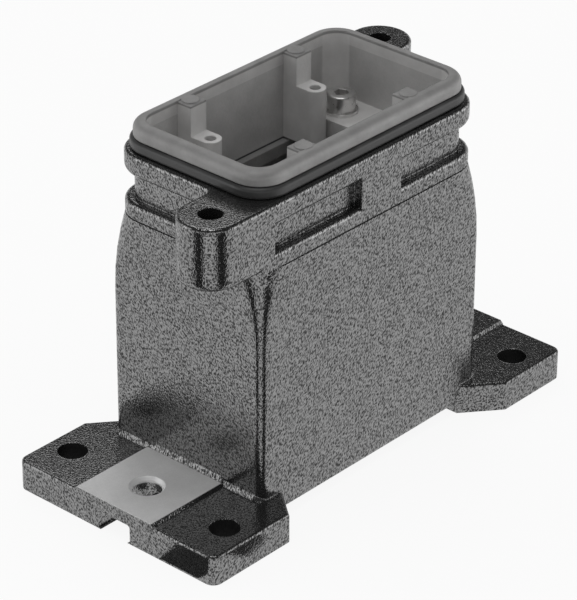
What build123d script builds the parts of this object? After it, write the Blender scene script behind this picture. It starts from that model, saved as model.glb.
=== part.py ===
# Surface mounting housing of a heavy duty rectangular connector, size of a six pole insert.
# Frame: +Z up, origin on the mounting plane under the middle of the housing, X along the long side.
# The housing repeats itself when it is turned half a turn about Z, apart from its earth hole.
import os

from build123d import *

os.makedirs("parts", exist_ok=True)

# Feet
foot_length = 154.0
foot_width = 76.6
foot_thickness = 9.3
foot_corner = 3.0
foot_edge = 0.8
foot_hole = 8.9
foot_hole_pitch_x = 126.8
foot_hole_pitch_y = 59.4
shoulder_root = 38.7
shoulder_short = 46.2
shoulder_long = 50.1
shoulder_round = 2.0
pad_width = 29.0
pad_rise = 0.9
wall_root = 1.2
wall_root_angle = 45.0
slot_width = 12.4
slot_height = 6.0
slot_round = 1.0
earth_core = 8.5
earth_mouth = 10.4

# Lower housing
body_length = 94.4
body_width = 57.8
body_lift = 3.2
body_corner = 3.0
joint_corner = 11.0
base_round = 1.2
flare_height = 24.0
flare_steps = 4
flare_power = 2
wall = 4.0
floor_thickness = 4.0
cavity_corner = 5.0
joint_level = 81.5
deck_thickness = 4.0
deck_overhang = 2.25
entry_bore = 30.4
entry_height = 38.0
entry_boss = 40.0
entry_wall = 8.0
entry_chamfer = 1.0

# Flat seal between the two castings
joint_seal_thickness = 0.5
joint_seal_inset = 0.5

# Upper frame
collar_height = 4.8
neck_depth = 2.8
neck_height = 8.0
flange_height = 7.0
collar_round = 1.6
flange_under_round = 2.4
flange_top_round = 1.2
rib_start = -6.3
rib_end = 10.3
pocket_start = -42.0

# Screw lugs on opposite corners of the upper frame
lug_reach = 57.2
lug_radius = 9.4
lug_bore = 7.0
lug_root_round = 2.0
lug_under_round = 2.6

# Rim and its ring seal
rim_inset = 2.4
rim_height = 4.1
rim_corner = 9.0
rim_round = 2.4
groove_depth = 1.5
groove_height = 3.7
ring_width = 2.4
ring_height = 3.4
ring_round = 1.1
ring_slack = 0.1

# Opening for the contact insert
opening_length = 82.6
opening_width = 46.0
opening_corner = 6.0
well_length = 52.0
shelf_rise = 6.7
insert_pitch_x = 44.0
insert_pitch_y = 27.0
insert_core = 3.3
insert_core_depth = 10.0
column_width = 6.4
column_rise = 18.0
pillar_reach = 5.0
pillar_drop = 0.3
stud_diameter = 5.2
stud_inset = 1.95
stud_rise = 0.4

# Cap screws that hold the frame on the lower housing
screw_pitch_x = 66.0
screw_pitch_y = 26.2
screw_diameter = 5.0
screw_length = 16.0
screw_head = 8.5
screw_head_height = 5.0
screw_head_round = 0.5
hex_flats = 4.0
hex_depth = 2.6
screw_clearance = 0.5
thread_clearance = 0.1
washer_diameter = 10.0
washer_thickness = 1.0
boss_diameter = 11.0
boss_length = 13.0
boss_bore_depth = 11.0

# Levels and sizes that follow
housing_top = joint_level - joint_seal_thickness / 2
frame_bottom = joint_level + joint_seal_thickness / 2
shelf_level = joint_level + shelf_rise
column_level = joint_level + column_rise
joint_seal_length = body_length - 2 * joint_seal_inset
joint_seal_width = body_width - 2 * joint_seal_inset
neck_level = joint_level + collar_height
flange_level = neck_level + neck_height
flange_top = flange_level + flange_height
rim_level = flange_top + groove_height
rim_top = rim_level + rim_height
lug_y = body_width / 2 - lug_radius
neck_length = body_length - 2 * neck_depth
neck_width = body_width - 2 * neck_depth
neck_corner = joint_corner - neck_depth
rim_length = body_length - 2 * rim_inset
rim_width = body_width - 2 * rim_inset
groove_length = rim_length - 2 * groove_depth
groove_width = rim_width - 2 * groove_depth
groove_corner = rim_corner - groove_depth
cavity_length = body_length - 2 * wall
cavity_width = body_width - 2 * wall
cavity_floor = body_lift + floor_thickness
deck_underside = housing_top - deck_thickness
deck_well_width = opening_width - 2 * deck_overhang
flare_start = housing_top - flare_height
pillar_top = rim_top - pillar_drop
stud_y = opening_width / 2 - stud_inset
pad_level = foot_thickness + pad_rise
head_seat = shelf_level + washer_thickness


def flare_corner(share):
    """Corner radius of the body at a share of the way up its flare."""
    return body_corner + (joint_corner - body_corner) * share**flare_power


def rounded_slab(length, width, corner, low, high):
    """A block with rounded upright edges between two levels."""
    with BuildPart(mode=Mode.PRIVATE) as slab:
        with BuildSketch(Plane.XY.offset(low)):
            RectangleRounded(length, width, corner)
        extrude(amount=high - low)
    return slab.part


def edges_at(builder, level):
    """The edges that lie wholly at one level."""
    return builder.edges().filter_by_position(Axis.Z, level, level)


def frame_slab(low, high, low_round, high_round):
    """A layer of the upper frame, round at the two corners without a lug, with rounded rims."""
    with BuildPart(mode=Mode.PRIVATE) as slab:
        with BuildSketch(Plane.XY.offset(low)) as outline:
            Rectangle(body_length, body_width)
            fillet(outline.vertices().filter_by(lambda corner: corner.X * corner.Y < 0), joint_corner)
        extrude(amount=high - low)
        if low_round:
            fillet(edges_at(slab, low), low_round)
        fillet(edges_at(slab, high), high_round)
    return slab.part


def screw_lug():
    """Round boss drawn back into the frame's corner, its side in the plane of the long face."""
    side = lug_y - lug_radius
    with BuildPart(mode=Mode.PRIVATE) as lug:
        with BuildSketch(Plane.XY.offset(frame_bottom)) as outline:
            with Locations((lug_reach, lug_y)):
                Circle(lug_radius)
            with Locations((lug_reach, lug_y)):
                Rectangle(lug_reach + pocket_start, 2 * lug_radius, align=(Align.MAX, Align.CENTER))
            with Locations((body_length / 2, side)):
                Rectangle(neck_depth, 4 * lug_root_round, align=(Align.MAX, Align.CENTER))
            corner = outline.vertices().sort_by_distance((body_length / 2, side, frame_bottom))[0]
            fillet(corner, lug_root_round)
        extrude(amount=flange_top - frame_bottom)
        for level, round_size in ((frame_bottom, lug_under_round), (flange_top, flange_top_round)):
            arcs = edges_at(lug, level).filter_by(GeomType.CIRCLE)
            fillet(arcs.filter_by(lambda arc: arc.radius == lug_radius), round_size)
    return lug.part


def foot_slot(start):
    """Slot under one foot, open at the foot's end."""
    with BuildPart(mode=Mode.PRIVATE) as slot:
        with BuildSketch(Plane.YZ.offset(start)) as profile:
            with Locations((0, slot_height / 2)):
                Rectangle(slot_width, slot_height)
            fillet(profile.vertices().group_by(Axis.Z)[-1], slot_round)
        extrude(amount=foot_length / 2 - shoulder_root)
    return slot.part


# Lower housing: plate with two feet under a tall box
with BuildPart() as base_housing:
    with BuildSketch() as plate_outline:
        with BuildLine():
            Polyline(
                (-foot_length / 2, -foot_width / 2),
                (-shoulder_short, -foot_width / 2),
                (-shoulder_root, -body_width / 2),
                (shoulder_root, -body_width / 2),
                (shoulder_long, -foot_width / 2),
                (foot_length / 2, -foot_width / 2),
                (foot_length / 2, foot_width / 2),
                (shoulder_short, foot_width / 2),
                (shoulder_root, body_width / 2),
                (-shoulder_root, body_width / 2),
                (-shoulder_long, foot_width / 2),
                (-foot_length / 2, foot_width / 2),
                close=True,
            )
        make_face()
        corners = plate_outline.vertices()
        outer_row = corners.filter_by(lambda corner: abs(corner.Y) > body_width / 2 + foot_edge)
        fillet(outer_row.filter_by(lambda corner: abs(corner.X) > foot_hole_pitch_x / 2), foot_corner)
        fillet(outer_row.filter_by(lambda corner: abs(corner.X) < foot_hole_pitch_x / 2), shoulder_round)
    extrude(amount=foot_thickness)
    fillet(edges_at(base_housing, foot_thickness), foot_edge)

    # Centre pad of each foot, a low bar with sloping sides
    with BuildSketch(Plane.YZ.offset(-foot_length / 2)):
        with BuildLine():
            Polyline(
                (-pad_width / 2 - pad_rise, foot_thickness - foot_edge),
                (pad_width / 2 + pad_rise, foot_thickness - foot_edge),
                (pad_width / 2 + pad_rise, foot_thickness),
                (pad_width / 2, pad_level),
                (-pad_width / 2, pad_level),
                (-pad_width / 2 - pad_rise, foot_thickness),
                close=True,
            )
        make_face()
    extrude(amount=foot_length)

    # Sloping root where the short walls stand on the feet and on the pads
    with BuildSketch(Plane.XY.offset(foot_thickness)):
        RectangleRounded(body_length + 2 * wall_root, body_width, body_corner)
    extrude(amount=wall_root, taper=wall_root_angle)
    with BuildSketch(Plane.XY.offset(pad_level)):
        Rectangle(body_length + 2 * wall_root, pad_width)
    extrude(amount=wall_root, taper=wall_root_angle)

    # The middle stands clear of the mounting plane
    with BuildSketch():
        Rectangle(2 * shoulder_root, foot_width)
    extrude(amount=body_lift, mode=Mode.SUBTRACT)

    # Box whose upright corners open out from sharp to round towards the joint
    with BuildSketch(Plane.XY.offset(body_lift)):
        RectangleRounded(body_length, body_width, body_corner)
    extrude(amount=flare_start - body_lift)
    for step in range(flare_steps):
        for share in (step / flare_steps, (step + 1) / flare_steps):
            with BuildSketch(Plane.XY.offset(flare_start + flare_height * share)):
                RectangleRounded(body_length, body_width, flare_corner(share))
        loft(ruled=True)
    fillet(edges_at(base_housing, body_lift).filter_by(Axis.X), base_round)

    # Space for the wires and the deck that carries the upper frame
    wiring_space = rounded_slab(cavity_length, cavity_width, cavity_corner, cavity_floor, deck_underside)
    deck_well = rounded_slab(well_length, deck_well_width, cavity_corner, deck_underside, housing_top)
    add([wiring_space, deck_well], mode=Mode.SUBTRACT)

    # Bosses under the deck, tapped for the cap screws
    with BuildSketch(Plane.XY.offset(housing_top - boss_length)):
        with GridLocations(screw_pitch_x, screw_pitch_y, 2, 2):
            Circle(boss_diameter / 2)
    extrude(amount=boss_length - deck_thickness)
    with BuildSketch(Plane.XY.offset(housing_top - boss_bore_depth)):
        with GridLocations(screw_pitch_x, screw_pitch_y, 2, 2):
            Circle(screw_diameter / 2 + thread_clearance)
    extrude(amount=boss_bore_depth, mode=Mode.SUBTRACT)

    # Tapped cable entry in one short wall, thickened on the inside
    with BuildSketch(Plane.YZ.offset(body_length / 2 - entry_wall)):
        with Locations((0, entry_height)):
            Circle(entry_boss / 2)
    extrude(amount=entry_wall - wall)
    with BuildSketch(Plane.YZ.offset(body_length / 2 - entry_wall)):
        with Locations((0, entry_height)):
            Circle(entry_bore / 2)
    extrude(amount=entry_wall, mode=Mode.SUBTRACT)
    bore_edges = base_housing.edges(Select.LAST).filter_by(GeomType.CIRCLE)
    chamfer(bore_edges.group_by(Axis.X)[-1], entry_chamfer)

    # Slots under the feet, fixing holes and the tapped earth hole
    add(foot_slot(-foot_length / 2), mode=Mode.SUBTRACT)
    add(foot_slot(shoulder_root), mode=Mode.SUBTRACT)
    with BuildSketch():
        with GridLocations(foot_hole_pitch_x, foot_hole_pitch_y, 2, 2):
            Circle(foot_hole / 2)
    extrude(amount=foot_thickness, mode=Mode.SUBTRACT)
    with Locations((-foot_hole_pitch_x / 2, 0, pad_level)):
        CounterSinkHole(earth_core / 2, earth_mouth / 2, pad_level)

base_housing.part.label = "base_housing"
export_step(base_housing.part, "parts/base_housing.step")


# Flat seal in the joint, a little smaller than the castings so that it shows as a thin line
with BuildPart() as joint_seal:
    with BuildSketch(Plane.XY.offset(housing_top)):
        RectangleRounded(joint_seal_length, joint_seal_width, joint_corner - joint_seal_inset)
        Rectangle(well_length, opening_width, mode=Mode.SUBTRACT)
        with GridLocations(screw_pitch_x, screw_pitch_y, 2, 2):
            Circle((screw_diameter + screw_clearance) / 2, mode=Mode.SUBTRACT)
    extrude(amount=joint_seal_thickness)

joint_seal.part.label = "joint_seal"
export_step(joint_seal.part, "parts/joint_seal.step")


# Upper frame: collar, neck and flange in one casting with two lugs and a bare rim
with BuildPart() as top_frame:
    add(frame_slab(frame_bottom, neck_level, 0, collar_round))
    add(frame_slab(flange_level, flange_top, flange_under_round, flange_top_round))
    with BuildSketch(Plane.XY.offset(frame_bottom)):
        RectangleRounded(neck_length, neck_width, neck_corner)
    extrude(amount=flange_top - frame_bottom)

    # A flush rib crosses the neck in the middle of each long face
    with BuildSketch(Plane.XY.offset(neck_level - collar_round)):
        for turn in (0, 180):
            with PolarLocations(0, 1, turn):
                with Locations(((rib_start + rib_end) / 2, -body_width / 2)):
                    Rectangle(rib_end - rib_start, 2 * neck_depth, align=(Align.CENTER, Align.MIN))
    extrude(amount=neck_height + collar_round + flange_under_round)
    add(screw_lug())
    add(screw_lug().rotate(Axis.Z, 180))

    # Groove for the ring seal and the rim that keeps it in
    add(rounded_slab(groove_length, groove_width, groove_corner, flange_top, rim_level))
    with BuildSketch(Plane.XY.offset(rim_level)):
        RectangleRounded(rim_length, rim_width, rim_corner)
    extrude(amount=rim_height)
    fillet(edges_at(top_frame, rim_top), rim_round)

    # Opening for the insert, with a deeper well between two end shelves
    add(rounded_slab(opening_length, opening_width, opening_corner, shelf_level, rim_top), mode=Mode.SUBTRACT)
    with BuildSketch(Plane.XY.offset(frame_bottom)):
        Rectangle(well_length, opening_width)
    extrude(amount=rim_top - frame_bottom, mode=Mode.SUBTRACT)

    # Pillars that guide the insert, each with a tapped column in front of it
    with BuildSketch(Plane.XY.offset(frame_bottom)):
        with GridLocations(insert_pitch_x, insert_pitch_y, 2, 2):
            Circle(column_width / 2)
        for turn in (0, 180):
            with PolarLocations(0, 1, turn):
                with GridLocations(insert_pitch_x, 0, 2, 1):
                    with Locations((0, (insert_pitch_y + opening_width) / 4)):
                        Rectangle(column_width, (opening_width - insert_pitch_y) / 2)
    extrude(amount=column_level - frame_bottom)
    with BuildSketch(Plane.XY.offset(column_level)):
        for turn in (0, 180):
            with PolarLocations(0, 1, turn):
                with GridLocations(insert_pitch_x, 0, 2, 1):
                    with Locations((0, opening_width / 2 - pillar_reach / 2)):
                        Rectangle(column_width, pillar_reach)
    extrude(amount=pillar_top - column_level)
    with BuildSketch(Plane.XY.offset(pillar_top)):
        with GridLocations(insert_pitch_x, 2 * stud_y, 2, 2):
            Circle(stud_diameter / 2)
    extrude(amount=stud_rise)

    # Holes for the lug screws, the insert's screws and the cap screws
    with BuildSketch(Plane.XY.offset(frame_bottom)):
        with Locations((lug_reach, lug_y), (-lug_reach, -lug_y)):
            Circle(lug_bore / 2)
        with GridLocations(screw_pitch_x, screw_pitch_y, 2, 2):
            Circle((screw_diameter + screw_clearance) / 2)
    extrude(amount=flange_top - frame_bottom, mode=Mode.SUBTRACT)
    with BuildSketch(Plane.XY.offset(column_level)):
        with GridLocations(insert_pitch_x, insert_pitch_y, 2, 2):
            Circle(insert_core / 2)
    extrude(amount=-insert_core_depth, mode=Mode.SUBTRACT)

top_frame.part.label = "top_frame"
export_step(top_frame.part, "parts/top_frame.step")


# Ring seal in the groove, rounded on the side that shows
with BuildPart() as rim_seal:
    with BuildSketch(Plane.XY.offset(flange_top)):
        RectangleRounded(
            groove_length + 2 * (ring_slack + ring_width),
            groove_width + 2 * (ring_slack + ring_width),
            groove_corner + ring_slack + ring_width,
        )
        RectangleRounded(
            groove_length + 2 * ring_slack,
            groove_width + 2 * ring_slack,
            groove_corner + ring_slack,
            mode=Mode.SUBTRACT,
        )
    extrude(amount=ring_height)
    for level in (flange_top, flange_top + ring_height):
        outer_loop = rim_seal.faces().filter_by_position(Axis.Z, level, level)[0].outer_wire()
        fillet(outer_loop.edges(), ring_round)

rim_seal.part.label = "rim_seal"
export_step(rim_seal.part, "parts/rim_seal.step")


# Four hexagon socket cap screws
with BuildPart() as frame_screws:
    with BuildSketch(Plane.XY.offset(head_seat)):
        with GridLocations(screw_pitch_x, screw_pitch_y, 2, 2):
            Circle(screw_head / 2)
    extrude(amount=screw_head_height)
    fillet(edges_at(frame_screws, head_seat + screw_head_height), screw_head_round)
    with BuildSketch(Plane.XY.offset(head_seat)):
        with GridLocations(screw_pitch_x, screw_pitch_y, 2, 2):
            Circle(screw_diameter / 2)
    extrude(amount=-screw_length)
    with BuildSketch(Plane.XY.offset(head_seat + screw_head_height)):
        with GridLocations(screw_pitch_x, screw_pitch_y, 2, 2):
            RegularPolygon(hex_flats / 2, 6, major_radius=False)
    extrude(amount=-hex_depth, mode=Mode.SUBTRACT)

frame_screws.part.label = "frame_screws"
export_step(frame_screws.part, "parts/frame_screws.step")


# Plain washers under the screw heads
with BuildPart() as screw_washers:
    with BuildSketch(Plane.XY.offset(shelf_level)):
        with GridLocations(screw_pitch_x, screw_pitch_y, 2, 2):
            Circle(washer_diameter / 2)
        with GridLocations(screw_pitch_x, screw_pitch_y, 2, 2):
            Circle((screw_diameter + screw_clearance) / 2, mode=Mode.SUBTRACT)
    extrude(amount=washer_thickness)

screw_washers.part.label = "screw_washers"
export_step(screw_washers.part, "parts/screw_washers.step")
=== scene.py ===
# %% [markdown]
# # Surface housing for a rectangular connector
# The object is a black powder coated die casting on two feet, with a second casting screwed on top.
# Its shape comes ready from the construction model. This lesson gives it its finishes, a studio and
# a camera, one step at a time.

import math

import bmesh
import bpy
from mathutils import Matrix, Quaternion, Vector


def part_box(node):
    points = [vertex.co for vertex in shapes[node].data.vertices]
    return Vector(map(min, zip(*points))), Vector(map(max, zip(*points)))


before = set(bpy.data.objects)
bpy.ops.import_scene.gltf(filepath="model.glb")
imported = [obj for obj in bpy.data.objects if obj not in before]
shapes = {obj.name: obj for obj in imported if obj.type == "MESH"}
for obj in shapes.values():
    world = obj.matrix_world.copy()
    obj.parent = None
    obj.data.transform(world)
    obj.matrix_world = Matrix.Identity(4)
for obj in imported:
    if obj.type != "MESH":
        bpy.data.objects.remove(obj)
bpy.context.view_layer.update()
MM = 0.001
print("Pieces of the model:", ", ".join(sorted(shapes)))

# %% [markdown]
# ## Small helpers for shader nodes
# A material in Blender is a graph of nodes. Writing each node and link by hand takes many lines, so
# one helper makes a node, sets its options, and either links or sets each input by name.


# %% Node helpers
def add_node(tree, kind, inputs=None, **options):
    """A new shader node. Inputs that are sockets are linked, and all others are set."""
    made = tree.nodes.new(kind)
    for name, value in options.items():
        setattr(made, name, value)
    for name, value in (inputs or {}).items():
        if isinstance(value, bpy.types.NodeSocket):
            tree.links.new(value, made.inputs[name])
        else:
            made.inputs[name].default_value = value
    return made


def empty_tree(owner):
    """The node tree of a material or a world, with nothing in it."""
    owner.use_nodes = True
    owner.node_tree.nodes.clear()
    return owner.node_tree


def new_material(name):
    """An empty node material with its output, its shader and the object's coordinates in metres."""
    material = bpy.data.materials.new(name)
    tree = empty_tree(material)
    shader = add_node(tree, "ShaderNodeBsdfPrincipled")
    output = add_node(tree, "ShaderNodeOutputMaterial")
    tree.links.new(shader.outputs[0], output.inputs["Surface"])
    place = add_node(tree, "ShaderNodeTexCoord").outputs["Object"]
    return material, tree, shader, place


# %% [markdown]
# ## Arithmetic with sockets
# Finishes vary from place to place, so their numbers are worked out by nodes as well. These helpers
# name the few kinds of arithmetic that the finishes below need.


# %% Arithmetic helpers
def calculate(tree, operation, first, second=0.0):
    """One step of arithmetic on two numbers or sockets."""
    return add_node(tree, "ShaderNodeMath", {0: first, 1: second}, operation=operation).outputs[0]


def scaled(tree, value, low, high, to_low, to_high):
    """A number taken from one range to another, held at both ends."""
    limits = {"Value": value, "From Min": low, "From Max": high, "To Min": to_low, "To Max": to_high}
    return add_node(tree, "ShaderNodeMapRange", limits).outputs[0]


def blend(tree, share, first, second):
    """A number between two others: the first where share is 0, the second where it is 1."""
    return add_node(tree, "ShaderNodeMix", {0: share, 2: first, 3: second}).outputs[0]


def blend_colour(tree, share, first, second):
    """A colour between two others."""
    return add_node(tree, "ShaderNodeMix", {0: share, 6: first, 7: second}, data_type="RGBA").outputs[2]


def grey(level, warmth=0.0):
    """A grey, a little warmer when asked."""
    return (level * (1 + warmth), level, level * (1 - warmth), 1.0)


# %% [markdown]
# ## Relief and soft edges
# A bump tilts the surface without moving it, which is enough for relief that is far thinner than a
# millimetre. Where a cast or turned edge is rounder than in the model, the Bevel node rounds its
# shading.


# %% Relief helpers
def soft_edges(tree, radius):
    """A surface direction that turns smoothly over an edge."""
    return add_node(tree, "ShaderNodeBevel", {"Radius": radius}, samples=4).outputs[0]


def relief(tree, height, normal=None):
    """A surface direction that follows a height in metres."""
    inputs = {"Height": height, "Strength": 1.0, "Distance": 1.0}
    if normal is not None:
        inputs["Normal"] = normal
    return add_node(tree, "ShaderNodeBump", inputs).outputs[0]


# %% [markdown]
# ## The black coat
# The coat is a wrinkle powder. As it dries it draws together into short glossy ridges, less than half
# a millimetre wide and about twice as long, with dull valleys between them. The ridges mirror the
# studio and the valleys stay dark, so the coat looks grey from afar although it is black. Real
# displacement would need millions of faces, so a bump does it, and the same noise makes the valleys
# dull. A Mapping node turns and stretches the noise, because the ridges all lean the same way.


# %% Wrinkles of the coat
ridge_direction = Vector((0.57, 0.37, 1.0))
ridge_stretch = 2.2
ridges_per_metre = 2500.0


def coat_height(tree, place):
    """Height of the wrinkled coat from 0 to 1, in short ridges that all lean the same way."""
    lean = ridge_direction.to_track_quat("Z", "Y").to_euler()
    turned = {"Vector": place, "Rotation": lean, "Scale": (1.0, 1.0, ridge_stretch)}
    along = add_node(tree, "ShaderNodeMapping", turned, vector_type="TEXTURE").outputs[0]
    ridges = {"Vector": along, "Scale": ridges_per_metre, "Detail": 0.5, "Distortion": 0.3}
    noise = add_node(tree, "ShaderNodeTexNoise", ridges).outputs[0]
    return scaled(tree, noise, 0.25, 0.75, 0.0, 1.0)


# %% [markdown]
# ## The bare metal
# The rim, the inside of both castings and one earth pad carry no coat. The rim and the inside are as
# they left the mould, dull and a little cloudy. The pad is milled, so it is brighter and has fine
# straight lines. All are the same alloy, so they share one helper for the cloudiness.


# %% Cloudy metal
def clouds(tree, place, scale, low, high):
    """A soft irregular variation between two numbers."""
    inputs = {"Vector": place, "Scale": scale, "Detail": 4.0, "Roughness": 0.6}
    noise = add_node(tree, "ShaderNodeTexNoise", inputs).outputs[0]
    return scaled(tree, noise, 0.3, 0.7, low, high)


def tool_lines(tree, place):
    """Fine straight lines across X, as a milling cutter leaves them."""
    stretch = add_node(tree, "ShaderNodeMapping", {"Vector": place, "Scale": (2600.0, 60.0, 60.0)})
    noise = add_node(tree, "ShaderNodeTexNoise", {"Vector": stretch.outputs[0], "Scale": 1.0, "Detail": 2.0})
    return noise.outputs[0]


# %% [markdown]
# ## Masks
# Each casting is one piece, so it gets one material with masks that say what is coated and what is
# bare. They could be painted, but boxes in the object's own space are simpler, and they fit, because
# the coat ends at straight edges: at the rim, at the opening and at the pad.


# %% Box masks
def box_mask(tree, place, low, high, edge=0.15):
    """1 inside a box between two corners in millimetres, 0 outside it."""
    middle = (Vector(low) + Vector(high)) / 2 * MM
    half = (Vector(high) - Vector(low)) / 2 * MM
    step = add_node(tree, "ShaderNodeVectorMath", {0: place, 1: middle}, operation="SUBTRACT").outputs[0]
    step = add_node(tree, "ShaderNodeVectorMath", {0: step}, operation="ABSOLUTE").outputs[0]
    step = add_node(tree, "ShaderNodeVectorMath", {0: step, 1: half}, operation="SUBTRACT").outputs[0]
    apart = add_node(tree, "ShaderNodeSeparateXYZ", {0: step})
    flat = calculate(tree, "MAXIMUM", apart.outputs[0], apart.outputs[1])
    farthest = calculate(tree, "MAXIMUM", flat, apart.outputs[2])
    return scaled(tree, farthest, -edge * MM, edge * MM, 1.0, 0.0)


def mask_of(tree, place, boxes):
    """1 inside any one of some boxes."""
    share = 0.0
    for low, high in boxes:
        share = calculate(tree, "MAXIMUM", share, box_mask(tree, place, low, high))
    return share


# %% [markdown]
# ## Colour of a casting
# The coat is nearly black and varies only a little. The rim is a dull dark grey, the inside of the upper
# frame is the same metal with a paler grey painted on as light for its shaded well, and the milled pad is
# the brightest. Soft patches keep each from looking flat.


# %% Colour of coat and metal
def casting_colour(tree, place, bare, milled, inside):
    """The coat's black, and the three greys of the bare metal, of which the inside's paler one is painted
    light.
    """
    coat_black = blend_colour(tree, clouds(tree, place, 90.0, 0.0, 1.0), grey(0.010), grey(0.018))
    patches = clouds(tree, place, 120.0, 0.0, 1.0)
    rim_grey = blend_colour(tree, patches, grey(0.27, 0.01), grey(0.35, 0.01))
    # Painted light: the inside is the same metal as the rim, given a paler grey that stands in for light in
    # its shaded well.
    painted_light_inside_grey = blend_colour(tree, patches, grey(0.56, 0.01), grey(0.66, 0.01))
    cast_grey = blend_colour(tree, inside, rim_grey, painted_light_inside_grey)
    milled_grey = blend_colour(tree, clouds(tree, place, 70.0, 0.0, 1.0), grey(0.78), grey(0.94))
    metal_grey = blend_colour(tree, milled, cast_grey, milled_grey)
    return blend_colour(tree, bare, coat_black, metal_grey)


# %% [markdown]
# ## Relief of a casting
# The coat stands a few hundredths of a millimetre high, the cast metal is about as rough, and the
# cutter's lines on the pad are far shallower.


# %% Relief of coat and metal
coat_relief = 0.035 * MM
cast_relief = 0.035 * MM
milled_relief = 0.006 * MM
casting_edge = 0.5 * MM


def casting_normal(tree, place, bare, milled, grains):
    """The direction of a casting's surface, with its relief and its soft edges."""
    coat_bump = calculate(tree, "MULTIPLY", grains, coat_relief)
    cast_bump = calculate(tree, "MULTIPLY", clouds(tree, place, 900.0, 0.0, 1.0), cast_relief)
    milled_bump = calculate(tree, "MULTIPLY", tool_lines(tree, place), milled_relief)
    metal_bump = blend(tree, milled, cast_bump, milled_bump)
    height = blend(tree, bare, coat_bump, metal_bump)
    return relief(tree, height, soft_edges(tree, casting_edge))


# %% [markdown]
# ## Putting coat and metal on one casting
# The shader's clear coat makes the ridges' shine, because it lies over a dark and dull layer as the
# powder's skin does. Its weight falls in the valleys and is none on bare metal. The walls of the bolt
# holes get none either, because the photograph shows them black.


# %% Material of the castings
def casting_material(name, cast_boxes, milled_boxes, painted_light_boxes, painted_shade_boxes):
    """Black coat all over, except for boxes of cast metal and of milled metal."""
    material, tree, shader, place = new_material(name)
    milled = mask_of(tree, place, milled_boxes)
    bare = calculate(tree, "MAXIMUM", mask_of(tree, place, cast_boxes), milled)
    # The inside mask carries painted light: a paler grey and less metal shine than the rim.
    inside = mask_of(tree, place, painted_light_boxes)
    # Painted shade: in the bolt holes the coat's shine is taken away, so their walls stay as black as shade.
    dull = calculate(tree, "MAXIMUM", bare, mask_of(tree, place, painted_shade_boxes))
    grains = coat_height(tree, place)

    colour = casting_colour(tree, place, bare, milled, inside)
    metal_share = blend(tree, milled, blend(tree, inside, 0.5, 0.3), 0.4)
    metal_roughness = blend(tree, milled, clouds(tree, place, 300.0, 0.50, 0.62), 0.45)
    shine = blend(tree, dull, scaled(tree, grains, 0.2, 0.7, 0.08, 1.0), 0.0)
    normal = casting_normal(tree, place, bare, milled, grains)

    tree.links.new(colour, shader.inputs["Base Color"])
    tree.links.new(calculate(tree, "MULTIPLY", bare, metal_share), shader.inputs["Metallic"])
    tree.links.new(blend(tree, bare, 0.45, metal_roughness), shader.inputs["Roughness"])
    tree.links.new(shine, shader.inputs["Coat Weight"])
    tree.links.new(normal, shader.inputs["Normal"])
    tree.links.new(normal, shader.inputs["Coat Normal"])
    shader.inputs["Specular IOR Level"].default_value = 0.1
    shader.inputs["Coat Roughness"].default_value = 0.08
    shader.inputs["Coat IOR"].default_value = 3.1
    return material


def dress(name, material):
    """Gives a piece of the model its material, in place of the plain one."""
    slots = shapes[name].material_slots
    for slot in slots:
        slot.material = material
    print(f"{name}: {material.name} on {len(slots)} slot(s)")


# %% [markdown]
# ## The upper frame
# The rim above the seal and all of the opening are bare. The inside, which is painted paler as light for its
# shaded well, is a box from the frame's lower edge up to a little below the rim's top. The boxes are in
# millimetres.

# %% Dress the upper frame
for corner, where in zip(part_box("top_frame"), ("lowest", "highest")):
    print(f"Upper frame, {where} corner:", tuple(round(value / MM, 1) for value in corner))

opening = ((-41.4, -23.1, 81.8), (41.4, 23.1, 120.0))
rim = ((-60.0, -40.0, 104.9), (60.0, 40.0, 120.0))
# Painted light: inside this box the frame's metal is painted paler than the rim.
frame_inside_painted_light = ((-41.4, -23.1, 81.8), (41.4, 23.1, 108.2))
frame_material = casting_material(
    "coated_frame", cast_boxes=[opening, rim], milled_boxes=[], painted_light_boxes=[frame_inside_painted_light], painted_shade_boxes=[]
)
dress("top_frame", frame_material)

# %% [markdown]
# ## The lower housing
# The wiring space inside is bare, and so are the earth pad and the mouth of its hole on the near foot. The
# four bolt holes in the feet lose the coat's shine, a painted shade that keeps their walls black.

# %% Dress the lower housing
wiring_space = ((-43.3, -25.0, 7.0), (43.3, 25.0, 90.0))
earth_pad = ((-90.0, -14.45, 10.1), (-48.4, 14.45, 10.3))
earth_mouth = ((-68.8, -5.4, 8.6), (-58.0, 5.4, 10.3))

bolt_x, bolt_y, hole_reach = 63.4, 29.7, 4.6
bolt_holes = []
for x in (-bolt_x, bolt_x):
    for y in (-bolt_y, bolt_y):
        bolt_holes.append(((x - hole_reach, y - hole_reach, 0.3), (x + hole_reach, y + hole_reach, 8.9)))

housing_material = casting_material(
    "coated_housing",
    cast_boxes=[wiring_space],
    milled_boxes=[earth_pad, earth_mouth],
    painted_light_boxes=[],
    painted_shade_boxes=bolt_holes,
)
dress("base_housing", housing_material)

# %% [markdown]
# ## Seals
# Both seals are rubber: nearly black, smooth and soft in their shine, with a faint dusty bloom. The
# bloom is one noise that lifts the colour and the roughness together, as dust does.


# %% Rubber
def rubber_material():
    """Dark rubber with a soft sheen and a slight bloom."""
    material, tree, shader, place = new_material("seal_rubber_satin")
    bloom = clouds(tree, place, 150.0, 0.0, 1.0)
    tree.links.new(blend_colour(tree, bloom, grey(0.030), grey(0.050)), shader.inputs["Base Color"])
    tree.links.new(scaled(tree, bloom, 0.0, 1.0, 0.38, 0.52), shader.inputs["Roughness"])
    height = calculate(tree, "MULTIPLY", clouds(tree, place, 1400.0, 0.0, 1.0), 0.01 * MM)
    tree.links.new(relief(tree, height), shader.inputs["Normal"])
    return material


rubber = rubber_material()
dress("rim_seal", rubber)
dress("joint_seal", rubber)

# %% [markdown]
# ## Screws and washers
# Zinc plated steel is brighter and smoother than the casting, with faint cloudy patches. It is metal
# all over, so its Metallic is one number on the shader's own socket.


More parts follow.
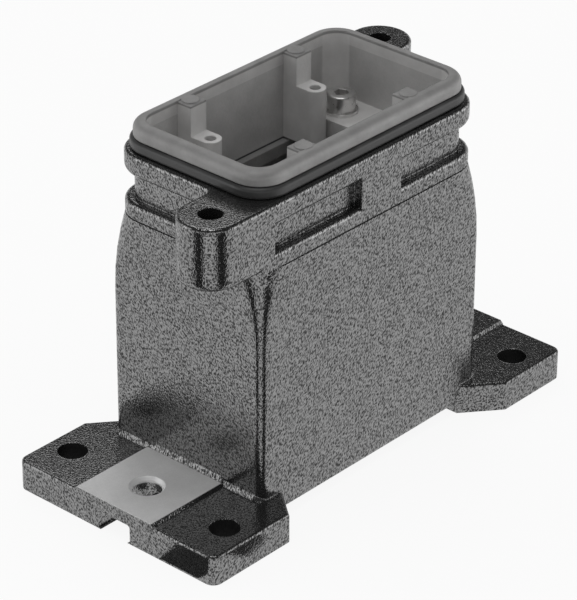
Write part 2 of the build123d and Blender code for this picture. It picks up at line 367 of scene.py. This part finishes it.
# %% Plated steel
def plated_steel_material():
    """Zinc plated steel, bright and a little cloudy."""
    material, tree, shader, place = new_material("zinc_plated_steel")
    patches = clouds(tree, place, 500.0, 0.0, 1.0)
    colour = blend_colour(tree, patches, grey(0.68, 0.01), grey(0.80, 0.01))
    tree.links.new(colour, shader.inputs["Base Color"])
    tree.links.new(scaled(tree, patches, 0.0, 1.0, 0.26, 0.38), shader.inputs["Roughness"])
    shader.inputs["Metallic"].default_value = 1.0
    height = calculate(tree, "MULTIPLY", patches, 0.01 * MM)
    tree.links.new(relief(tree, height, soft_edges(tree, 0.3 * MM)), shader.inputs["Normal"])
    return material


plated_steel = plated_steel_material()
dress("frame_screws", plated_steel)
dress("screw_washers", plated_steel)

# %% [markdown]
# ## Floor
# The floor is white to the camera and in reflections, through the Light Path node, so no extra light
# is needed to make it white. It keeps a share of its real shading, which holds the soft shadow.


# %% White floor
def seen_directly(tree):
    """1 for rays from the camera, mirrors and glass, 0 for the rays that carry light about."""
    path = add_node(tree, "ShaderNodeLightPath")
    share = calculate(tree, "MAXIMUM", path.outputs["Is Camera Ray"], path.outputs["Is Glossy Ray"])
    return calculate(tree, "MAXIMUM", share, path.outputs["Is Transmission Ray"])


def white_floor(half_side, glow):
    """A square floor that looks white and still takes a shadow."""
    bpy.ops.mesh.primitive_plane_add(size=2 * half_side, location=(0, 0, 0))
    floor = bpy.context.object
    floor.name = "studio_floor"
    material = bpy.data.materials.new("studio_white")
    tree = empty_tree(material)
    matt = add_node(tree, "ShaderNodeBsdfDiffuse", {"Color": grey(0.85)})
    light = add_node(tree, "ShaderNodeEmission", {"Color": grey(1.0), "Strength": 1.0})
    share = calculate(tree, "MULTIPLY", seen_directly(tree), glow)
    mixed = add_node(tree, "ShaderNodeMixShader", {0: share, 1: matt.outputs[0], 2: light.outputs[0]})
    output = add_node(tree, "ShaderNodeOutputMaterial")
    tree.links.new(mixed.outputs[0], output.inputs["Surface"])
    floor.data.materials.append(material)
    print(f"{floor.name}: {2 * half_side:.0f} m square, white share {glow}")


white_floor(half_side=6.0, glow=0.9)

# %% [markdown]
# ## Surroundings
# The world is white up to a little above the horizon, and dark overhead like a studio's ceiling,
# which gives the glossy coat something dark to mirror. The camera, mirrors and glass all see that
# same picture. The light that it sheds on the object is an even grey.


# %% Pale world
def pale_world(ambient, white_up_to, dark_from, ceiling):
    """A world that is white to the horizon and dark above, and gives a plain even light."""
    world = bpy.data.worlds.new("studio_world")
    bpy.context.scene.world = world
    tree = empty_tree(world)
    towards = add_node(tree, "ShaderNodeTexCoord").outputs["Generated"]
    upward = add_node(tree, "ShaderNodeSeparateXYZ", {0: towards}).outputs[2]
    studio = scaled(tree, upward, white_up_to, dark_from, 1.0, ceiling)
    strength = blend(tree, seen_directly(tree), ambient, studio)
    background = add_node(tree, "ShaderNodeBackground", {"Color": grey(1.0), "Strength": strength})
    output = add_node(tree, "ShaderNodeOutputWorld")
    tree.links.new(background.outputs[0], output.inputs["Surface"])
    print(f"{world.name}: even light {ambient}, ceiling {ceiling}")


pale_world(ambient=0.45, white_up_to=0.04, dark_from=0.3, ceiling=0.05)

# %% [markdown]
# ## Lamps
# Two large soft lamps stand to the left and right of the camera, where the two upright faces mirror
# them, one stands behind for the tops, and one hangs above. Each is aimed at the housing's middle.
# A lamp's brightness is given, and its power follows from its area.


# %% Soft lamps
aim_height = 0.06


def soft_lamp(name, azimuth, elevation, distance, width, height, radiance):
    """A rectangular lamp of a given brightness, aimed at the middle of the housing."""
    lamp = bpy.data.lights.new(name, "AREA")
    lamp.shape = "RECTANGLE"
    lamp.size = width
    lamp.size_y = height
    lamp.energy = radiance * math.pi * width * height
    holder = bpy.data.objects.new(name, lamp)
    bpy.context.scene.collection.objects.link(holder)
    turn = math.radians(azimuth)
    rise = math.radians(elevation)
    towards = Vector((math.cos(turn) * math.cos(rise), math.sin(turn) * math.cos(rise), math.sin(rise)))
    holder.location = Vector((0, 0, aim_height)) + towards * distance
    holder.rotation_euler = (-towards).to_track_quat("-Z", "Y").to_euler()
    print(f"{name}: {lamp.energy:.1f} W")


soft_lamp("lamp_right", azimuth=-42, elevation=14, distance=0.9, width=0.9, height=0.5, radiance=1.3)
soft_lamp("lamp_left", azimuth=138, elevation=19, distance=0.9, width=0.6, height=0.6, radiance=1.3)
soft_lamp("lamp_behind", azimuth=50, elevation=48, distance=1.0, width=0.5, height=0.5, radiance=1.5)
soft_lamp("lamp_above", azimuth=200, elevation=78, distance=1.0, width=0.5, height=0.5, radiance=2.7)

# %% [markdown]
# ## Dark cards
# A photographer gives a glossy black object its outline with dark cards, which its round edges
# mirror as black bands beside a bright strip. The cards lie on the floor in front of the near
# corner. Only reflections show them: the camera doesn't see them, and they block no light.


# %% Cards
near_corner = Vector((-50, -24, 0.5)) * MM


def dark_card(name, azimuth, spread, near=0.02, far=0.8):
    """A flat wedge on the floor that only mirrors see, pointing away from the near corner."""
    mesh = bpy.data.meshes.new(name)
    form = bmesh.new()
    corners = []
    for side, reach in ((-1, near), (-1, far), (1, far), (1, near)):
        turn = math.radians(azimuth + side * spread / 2)
        corners.append(form.verts.new(near_corner + Vector((math.cos(turn), math.sin(turn), 0)) * reach))
    form.faces.new(corners)
    form.to_mesh(mesh)
    form.free()
    material = bpy.data.materials.new("card_black")
    material.use_nodes = True
    material.node_tree.nodes["Principled BSDF"].inputs["Base Color"].default_value = grey(0.005)
    mesh.materials.append(material)
    card = bpy.data.objects.new(name, mesh)
    bpy.context.scene.collection.objects.link(card)
    card.visible_camera = False
    card.visible_diffuse = False
    card.visible_shadow = False
    print(f"{name}: {spread} degrees wide about {azimuth}")


dark_card("card_left", azimuth=182, spread=30)
dark_card("card_right", azimuth=256.5, spread=33)

# %% [markdown]
# ## Camera
# The camera's place, turn and lens were found by fitting the model's edges to the photograph, so the
# render has the same perspective. A long lens far away keeps the verticals nearly parallel.


# %% Camera
def place_camera(location, target, roll, lens):
    """A camera aimed at a point, turned a little about its own axis."""
    data = bpy.data.cameras.new("studio_camera")
    data.lens = lens
    data.sensor_width = 36.0
    camera = bpy.data.objects.new("studio_camera", data)
    bpy.context.scene.collection.objects.link(camera)
    camera.location = location
    camera.rotation_mode = "QUATERNION"
    aim = (target - location).to_track_quat("-Z", "Y")
    camera.rotation_quaternion = aim @ Quaternion((0, 0, 1), math.radians(roll))
    bpy.context.scene.camera = camera
    print("Camera at", tuple(round(value, 3) for value in camera.location))


place_camera(
    location=Vector((-625.72, -556.28, 515.47)) * MM,
    target=Vector((4.021, 7.360, 39.305)) * MM,
    roll=0.255,
    lens=199.87,
)
bpy.context.scene.view_settings.view_transform = "Standard"
